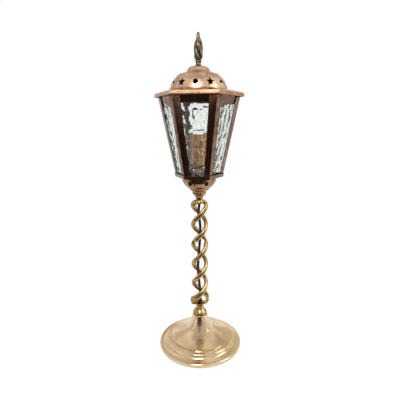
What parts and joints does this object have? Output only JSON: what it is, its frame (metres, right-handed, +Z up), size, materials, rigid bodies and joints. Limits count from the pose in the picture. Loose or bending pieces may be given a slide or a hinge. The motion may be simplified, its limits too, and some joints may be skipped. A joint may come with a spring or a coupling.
{
  "type": "lantern table lamp",
  "caption": "Table lamp shaped as a six-sided lantern: round spun foot, open twisted column, tapering glazed body and a lift-off roof with pierced dome and flame finial.",
  "frame": {"origin": "middle of the lamp's footprint, on the surface it stands on", "axes": "+Z up along the lamp's own axis; -Y is the lantern face that looks to the front and +Y the side with the cable outlet"},
  "size_m": [0.1592, 0.1593, 0.5752],
  "materials": {
    "base_brass": "polished, lacquered, slightly uneven",
    "column_brass": "polished casting, darker in the hollows",
    "bowl_brass": "polished, patchy brown patina",
    "dome_brass": "polished, rosy",
    "roof_copper": "copper-brown, mottled",
    "copper_strip": "aged copper-brown",
    "finial_brass": "aged grey-brown",
    "holder_brass": "bright pressed brass",
    "hammered_glass": "clear, hammered on one side",
    "iron": "painted casting",
    "steel": "zinc plated",
    "insulator": "moulded",
    "flex_sheath": "matt black",
    "core_sheath": "smooth",
    "grommet_rubber": "matt black",
    "baize": "felted"
  },
  "bodies": {
    "lamp": {"baize_pad": "baize", "base_shell": "base_brass", "base_weight": "iron", "bayonet_sleeve": "holder_brass", "bowl": "bowl_brass", "contact_spring_1": "steel", "contact_spring_2": "steel", "corner_post_1": "copper_strip", "corner_post_2": "copper_strip", "corner_post_3": "copper_strip", "corner_post_4": "copper_strip", "corner_post_5": "copper_strip", "corner_post_6": "copper_strip", "flex_cores": "core_sheath", "floor_nut": "steel", "floor_pan": "copper_strip", "floor_tabs": "copper_strip", "floor_washer": "steel", "glass_clips": "copper_strip", "glass_pane_1": "hammered_glass", "glass_pane_2": "hammered_glass", "glass_pane_3": "hammered_glass", "glass_pane_4": "hammered_glass", "glass_pane_5": "hammered_glass", "glass_pane_6": "hammered_glass", "holder_barrel": "holder_brass", "holder_cap": "holder_brass", "holder_insulator": "insulator", "lamp_flex": "flex_sheath", "lower_nut": "steel", "lower_stud": "steel", "lower_washer": "steel", "outlet_grommet": "grommet_rubber", "terminal_blocks": "holder_brass", "terminal_screws": "steel", "top_band": "copper_strip", "twist_column": "column_brass", "upper_stud": "steel"},
    "roof": {"roof_plate": "roof_copper", "roof_tabs": "roof_copper", "pierced_dome": "dome_brass", "chimney_cap": "dome_brass", "finial_rod": "steel", "finial_washer": "steel", "finial_nut": "steel", "flame_finial": "finial_brass"},
    "left_plunger": {"contact_plunger_2": "holder_brass"},
    "right_plunger": {"contact_plunger_1": "holder_brass"}
  },
  "joints": [
    {"name": "roof_lift", "type": "slide", "parent": "lamp", "child": "roof", "axis": [0, 0, 1], "range_m": [0, 0.12]},
    {"name": "right_plunger_slide", "type": "slide", "parent": "lamp", "child": "right_plunger", "axis": [0, 0, 1], "range_m": [-0.0035, 0], "stiffness_N_per_m": 500, "springref_m": 0.002, "deforming": ["contact_spring_1"]},
    {"name": "left_plunger_slide", "type": "slide", "parent": "lamp", "child": "left_plunger", "axis": [0, 0, 1], "range_m": [-0.0035, 0], "stiffness_N_per_m": 500, "springref_m": 0.002, "deforming": ["contact_spring_2"]}
  ]
}
